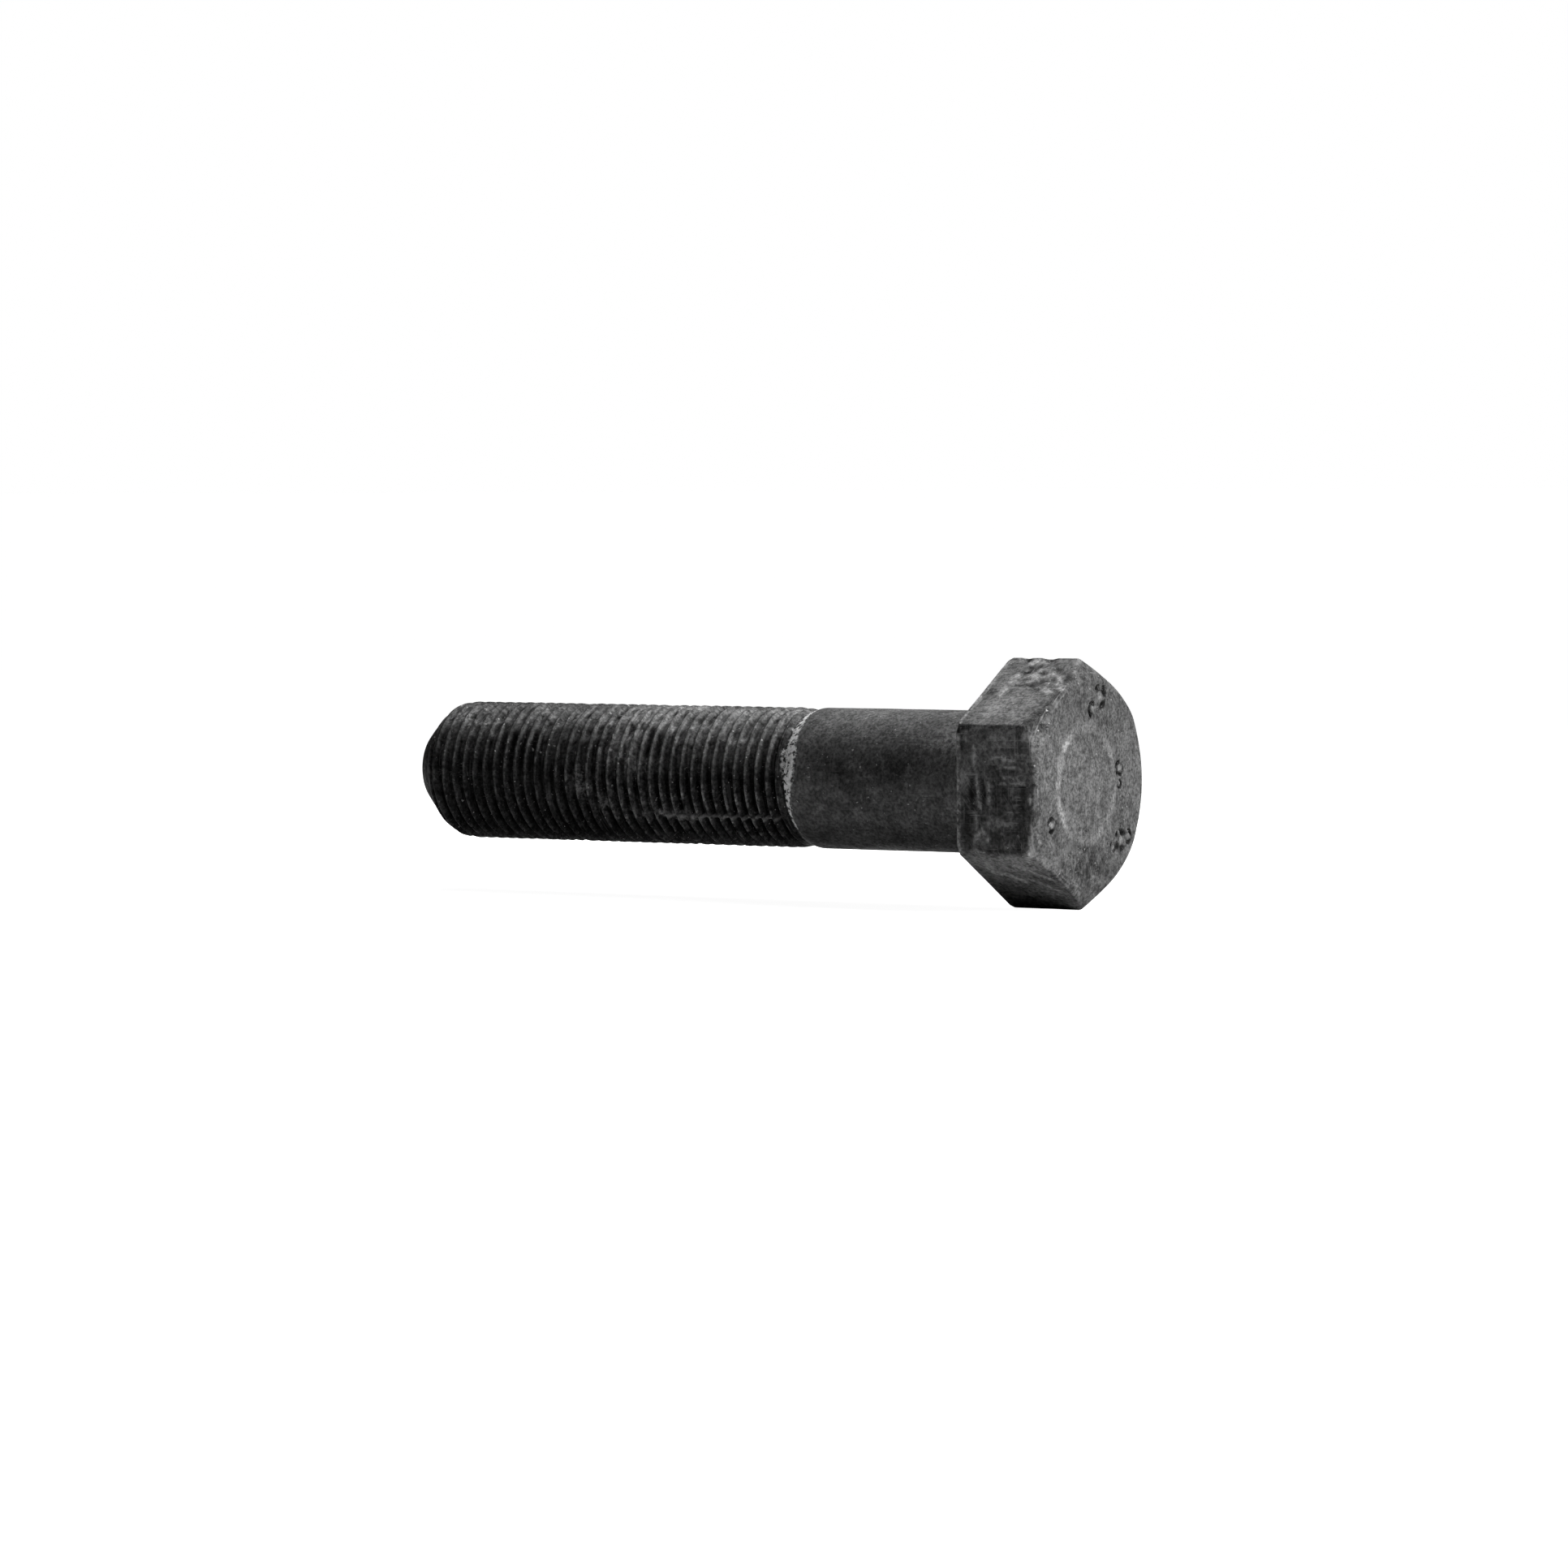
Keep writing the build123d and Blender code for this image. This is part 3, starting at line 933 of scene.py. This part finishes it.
class BlackSteel(Sheet):
    """Worn black steel: cloudy and speckled, lighter where edges and crests are rubbed, with
    painted shade deep in the thread and in its hollows. Each step lays its own marks over the tone
    so far."""

    def __init__(self):
        super().__init__("black_steel")
        self.bend = self.mask("bend")
        self.rise = self.mask("rise")
        self.head = self.mask("head")
        self.thread = self.mask("thread")
        self.patchy = self.noise(1.3, 5.0, shift=3.1)
        self.grain = self.noise(0.36, 2.0, shift=7.7)
        self.grain_tone = self.ramp(self.grain, 0.3, 0.7, 0.55, 1.55)
        self.tone = self.black_finish()
        self.mark_flats_and_end()
        self.darken_thread()
        self.pack_dirt()
        self.rub_edges_and_shade_hollows()
        self.scratch()
        self.lay_dust_and_chalk()
        self.scrape_thread()
        self.scatter_specks()
        self.shade()

    def cover(self, amount, tone):
        """Lay a tone over the tone so far."""
        self.tone = self.blend(amount, self.tone, tone)

    def darken(self, mask, darkest, low=0.0, high=1.0):
        """Darken the tone so far, to this part of it where the mask reaches high."""
        self.tone = self.times(self.tone, self.ramp(mask, low, high, 1.0, darkest))

    def broken(self, name, size, detail, shift, low, high, least=0.0):
        """A mask that noise of this size breaks up."""
        holes = self.ramp(self.noise(size, detail, shift=shift), low, high, least, 1.0)
        return self.times(self.mask(name), holes)

    def black_finish(self):
        """The black finish: clouds, mottling and fine grain."""
        clouds = self.ramp(self.noise(7.0, 3.0), 0.3, 0.7, 0.8, 1.25)
        bar_mottling = self.ramp(self.patchy, 0.3, 0.7, 0.74, 1.32)
        head_mottling = self.ramp(self.patchy, 0.3, 0.7, 0.60, 1.5)
        mottling = self.blend(self.head, bar_mottling, head_mottling)
        head_tone = self.ramp(self.head, 0.0, 1.0, 1.0, HEAD_TONE)
        return self.times(BASE_TONE, clouds, mottling, self.grain_tone, head_tone)

    def mark_flats_and_end(self):
        """Rubbed patches, stains, dimples, cracks, cuts, painted shade on the upper-left chamfer,
        light scrapes and the rubbed rim.
        """
        rubbed = self.broken("rubbed", 0.9, 5.0, 17.0, 0.30, 0.54)
        self.cover(self.times(rubbed, 0.85), self.times(RUBBED_TONE, self.grain_tone))
        # dark stains, with painted shade under the thread and on the upper-left chamfer
        self.darken(self.broken("stain", 1.1, 4.0, 19.0, 0.3, 0.6), 0.40)
        self.darken(self.mask("pit"), 0.22, 0.06, 0.44)
        self.darken(self.mask("crack"), 0.35, 0.1, 0.7)
        # dark cuts, and painted shade along the upper-left chamfer
        self.darken(self.mask("cut"), 0.30)
        streak = self.broken("streak", 0.6, 4.0, 29.0, 0.34, 0.54, 0.35)
        rim = self.broken("rim", 0.7, 4.0, 31.0, 0.40, 0.60)
        streak = self.calc("MAXIMUM", streak, self.times(rim, 0.8))
        self.cover(self.times(streak, 0.85), self.times(SCRAPE_TONE, self.grain_tone))

    def darken_thread(self):
        """Painted shade deep in the thread's roots, and darker in blotches and towards the point.
        """
        # painted shade: the tone falls towards the roots of the thread
        root_shade = self.ramp(self.rise, 0.10, 0.70, 0.30, 1.05)
        thread_tone = self.ramp(self.thread, 0.0, 1.0, 1.0, THREAD_TONE)
        self.tone = self.times(self.tone, root_shade, thread_tone)
        blotches = self.ramp(self.noise(0.8, 4.0, shift=41.0), 0.36, 0.6, 1.0, 0.0)
        self.darken(self.times(self.thread, blotches), 0.45)
        self.darken(self.mask("point"), 0.66)

    def pack_dirt(self):
        """Lighter and dull dirt packed into the thread, thin on its crests, and grime."""
        self.packed = self.broken("packed", 1.0, 4.0, 33.0, 0.22, 0.44)
        self.crests = self.times(self.ramp(self.rise, 0.60, 0.95), self.ramp(self.thread, 0.5, 1.0))
        cover = self.times(self.packed, self.ramp(self.crests, 0.0, 1.0, 1.0, 0.35))
        dirt_patchy = self.ramp(self.patchy, 0.34, 0.62, 0.65, 1.35)
        dirt_tone = self.times(PACKED_TONE, self.grain_tone, dirt_patchy)
        dirt_tone = self.times(dirt_tone, self.ramp(self.mask("point"), 0.0, 1.0, 1.0, 0.44))
        self.cover(cover, dirt_tone)
        self.grime = self.broken("grime", 0.55, 3.0, 1.3, 0.38, 0.62)
        self.cover(self.grime, self.times(GRIME_TONE, self.grain_tone))

    def rub_edges_and_shade_hollows(self):
        """Light rubbed edges and crests, with a painted highlight on the crests low on the front,
        and painted shade in the hollows.
        """
        edge = self.ramp(self.bend, 0.35, 1.8)
        for factor in (
            self.ramp(self.noise(0.9, 4.0, shift=5.9), 0.42, 0.68),
            self.ramp(self.thread, 0.0, 1.0, 0.7, 0.25),
            self.ramp(self.mask("packed"), 0.0, 1.0, 1.0, 0.2),
            # partly a painted highlight on the crests low on the front
            self.ramp(self.mask("polish"), 0.0, 1.0, 1.0, 2.8),
            self.ramp(self.mask("cut"), 0.1, 0.6, 1.0, 0.1),
        ):
            edge = self.times(edge, factor)
        self.edge = edge
        self.cover(edge, self.times(WORN_TONE, self.grain_tone))
        # painted shade: darker where the surface bends inwards, less so under packed dirt
        clean_hollow_shade = self.ramp(self.bend, -0.05, -1.0, 1.0, 0.35)
        packed_hollow_shade = self.ramp(self.bend, -0.3, -1.5, 1.0, 0.55)
        self.tone = self.times(self.tone, self.blend(self.packed, clean_hollow_shade, packed_hollow_shade))

    def scratch_lines(self, stretch, turn, shift):
        """Fine lines along one direction, in patches."""
        lines = self.ramp(self.noise(0.16, 1.0, stretch, turn, shift), 0.58, 0.70)
        places = self.ramp(self.noise(2.4, 3.0, shift=shift + 40), 0.46, 0.60)
        return self.times(lines, places)

    def scratch(self):
        """Scratches in three directions, faint off the head."""
        along = self.scratch_lines((60, 1, 1), (0, 0, 0), 0.0)
        across = self.scratch_lines((1, 45, 45), (0, 0, 0), 11.0)
        slanted = self.scratch_lines((1, 1, 30), (0, 35, 0), 23.0)
        lines = self.calc("MAXIMUM", along, across)
        self.lines = self.calc("MAXIMUM", lines, self.times(slanted, 0.4))
        on_head = self.ramp(self.head, 0.0, 1.0, 0.3, 1.0)
        self.cover(self.times(self.lines, 0.6, on_head), SCRATCH_TONE)

    def lay_dust_and_chalk(self):
        """The ring on the head's end, dust under the head, and the chalky ring on the run-out."""
        ring = self.broken("ring", 1.2, 3.0, 9.2, 0.30, 0.52, 0.3)
        self.cover(ring, self.times(RING_TONE, self.grain_tone))
        self.dust = self.broken("dust", 0.9, 4.0, 2.4, 0.34, 0.58)
        self.cover(self.times(self.dust, 0.8), self.times(DUST_TONE, self.grain_tone))
        self.chalk = self.ramp(self.broken("chalk", 0.48, 4.0, 4.8, 0.34, 0.60), 0.14, 0.55)
        chalk_grain = self.ramp(self.grain, 0.3, 0.7, 0.75, 1.15)
        self.cover(self.chalk, self.times(CHALK_TONE, chalk_grain))

    def scrape_thread(self):
        """The light scrape across the crests, weaker in the roots."""
        scrape = self.times(self.mask("scrape"), self.ramp(self.rise, 0.0, 0.6, 0.5, 1.0))
        scrape = self.times(scrape, self.ramp(self.noise(0.8, 3.0, shift=6.6), 0.28, 0.50))
        self.cover(self.times(scrape, 0.8), SCRAPE_TONE)

    def scatter_specks(self):
        """Light specks everywhere, and fainter flecks in patches."""
        specks = self.ramp(self.noise(0.34, 0.0, shift=8.8), 0.80, 0.84)
        self.cover(self.times(specks, 0.7), SPECK_TONE)
        flecks = self.ramp(self.noise(0.42, 1.0, shift=35.0), 0.66, 0.76)
        flecks = self.times(flecks, self.ramp(self.noise(3.0, 2.0, shift=37.0), 0.45, 0.6))
        self.cover(self.times(flecks, 0.55), WORN_TONE)

    def shade(self):
        """Plug the tone, its highlights, the roughness and a fine bump into the shader."""
        dull = self.calc("MAXIMUM", self.chalk, self.times(self.grime, 0.8))
        dull = self.calc("MAXIMUM", dull, self.times(self.dust, 0.6))
        roughness = self.ramp(self.noise(1.1, 3.0, shift=12.5), 0.3, 0.7, 0.56, 0.74)
        roughness = self.blend(self.edge, roughness, 0.45)
        roughness = self.blend(dull, roughness, 0.9)
        rough = self.times(self.noise(0.5, 3.0, shift=14.1), 0.8)
        height = self.calc("ADD", self.times(self.grain, 0.7), rough)
        height = self.calc("SUBTRACT", height, self.times(self.lines, 0.35))
        height = self.calc("ADD", height, self.times(self.chalk, 0.5))
        fine = {"Strength": 0.55, "Distance": 0.06 * MM, "Height": height}
        packed_crests = self.times(self.crests, self.mask("packed"))
        shine = self.calc("MINIMUM", self.times(self.tone, SHINE), MOST_SHINE)
        shine = self.times(shine, self.ramp(packed_crests, 0.0, 1.0, 1.0, 0.6))
        for name, value in (
            ("Base Color", self.add("ShaderNodeCombineColor", [self.tone] * 3).outputs[0]),
            ("Metallic", self.blend(dull, 0.4, 0.0)),
            ("Roughness", roughness),
            ("Specular IOR Level", shine),
            ("Normal", self.add("ShaderNodeBump", fine).outputs[0]),
        ):
            self.plug(value, self.shader.inputs[name])


bolt = build_bolt()
bolt.data.materials.append(BlackSteel().material)
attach(bolt, "root")
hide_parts("hex_bolt")

# -------------------- floor, light and camera
def floor_paint():
    """Pale paint that stays white in view and throws only a little light back up."""
    paint = bpy.data.materials.new("pale_floor")
    paint.use_nodes = True
    tree = paint.node_tree
    tree.nodes.remove(tree.nodes["Principled BSDF"])
    seen = tree.nodes.new("ShaderNodeLightPath").outputs["Is Camera Ray"]
    glow = tree.nodes.new("ShaderNodeEmission")
    place = tree.nodes.new("ShaderNodeNewGeometry").outputs["Position"]
    distance = tree.nodes.new("ShaderNodeVectorMath")
    distance.operation = "LENGTH"
    fade = tree.nodes.new("ShaderNodeMapRange")
    fade.interpolation_type = "SMOOTHSTEP"
    for name, value in GLOW.items():
        fade.inputs[name].default_value = value
    lit = tree.nodes.new("ShaderNodeBsdfDiffuse")
    lit.inputs["Color"].default_value = FLOOR_GREY
    bounce = tree.nodes.new("ShaderNodeBsdfDiffuse")
    bounce.inputs["Color"].default_value = FLOOR_GREY
    view = tree.nodes.new("ShaderNodeAddShader")
    mix = tree.nodes.new("ShaderNodeMixShader")
    for start, end in (
        (place, distance.inputs[0]),
        (distance.outputs["Value"], fade.inputs["Value"]),
        (fade.outputs[0], glow.inputs["Strength"]),
        (glow.outputs[0], view.inputs[0]),
        (lit.outputs[0], view.inputs[1]),
        (seen, mix.inputs[0]),
        (bounce.outputs[0], mix.inputs[1]),
        (view.outputs[0], mix.inputs[2]),
        (mix.outputs[0], tree.nodes["Material Output"].inputs["Surface"]),
    ):
        tree.links.new(start, end)
    return paint


def make_floor():
    """A wide square that the bolt's lowest corner touches."""
    floor_mesh = bpy.data.meshes.new("floor")
    signs = ((-1, -1), (1, -1), (1, 1), (-1, 1))
    corners = [(FLOOR_REACH * x, FLOOR_REACH * y, 0) for x, y in signs]
    floor_mesh.from_pydata(corners, [], [(0, 1, 2, 3)])
    floor = bpy.data.objects.new("floor", floor_mesh)
    floor.location.z = cad_box[0][2]
    bpy.context.scene.collection.objects.link(floor)
    floor_mesh.materials.append(floor_paint())


def make_camera():
    """The viewpoint: beyond the head's end, on the -Y side, and almost level with the bolt."""
    to_camera = Matrix.Rotation(ROLL, 3, "Y") @ Matrix.Rotation(PITCH_UP, 3, "X")
    to_camera = to_camera @ Matrix.Rotation(YAW, 3, "Z") @ Matrix.Rotation(TURN, 3, "X")
    place = to_camera.transposed() @ -(CAMERA_SHIFT + Vector((0, CAMERA_DISTANCE, 0)))
    right, forward, up = (Vector(row) for row in to_camera)
    camera = bpy.data.objects.new("camera", bpy.data.cameras.new("camera"))
    axes = Matrix((right, up, -forward)).transposed().to_4x4()
    camera.matrix_world = Matrix.Translation(place) @ axes
    camera.data.sensor_width = SENSOR_WIDTH
    camera.data.lens = LENS
    camera.data.clip_start = CLIP_NEAR
    camera.data.clip_end = CLIP_FAR
    bpy.context.scene.collection.objects.link(camera)
    bpy.context.scene.camera = camera


def make_world():
    """White where it is seen, and dim as a light."""
    world = bpy.data.worlds.new("studio")
    bpy.context.scene.world = world
    world.use_nodes = True
    tree = world.node_tree
    background = tree.nodes["Background"]
    background.inputs["Color"].default_value = (1, 1, 1, 1)
    seen = tree.nodes.new("ShaderNodeLightPath").outputs["Is Camera Ray"]
    strength = tree.nodes.new("ShaderNodeMapRange")
    strength.inputs["To Min"].default_value = WORLD_LIGHT
    strength.inputs["To Max"].default_value = 1.0
    tree.links.new(seen, strength.inputs["Value"])
    tree.links.new(strength.outputs[0], background.inputs["Strength"])


def area_light(name, place, side, watts):
    """A square lamp of this side, in metres, that points at the middle of the bolt."""
    lamp = bpy.data.lights.new(name, "AREA")
    lamp.size = side
    lamp.energy = watts
    lamp.spread = LAMP_SPREAD
    holder = bpy.data.objects.new(name, lamp)
    holder.location = place
    aim = Vector(((TIP_X + HEAD_END_X) / 2, 0, 0)) - Vector(place)
    holder.rotation_mode = "QUATERNION"
    holder.rotation_quaternion = aim.to_track_quat("-Z", "Y")
    bpy.context.scene.collection.objects.link(holder)


area_light("overhead_lamp", place=(0.0, 0.26, 0.56), side=0.40, watts=0.76)
area_light("right_lamp", place=(0.62, 0.06, 0.28), side=0.35, watts=0.77)
make_floor()
make_camera()
make_world()
bpy.context.scene.view_settings.view_transform = "Standard"
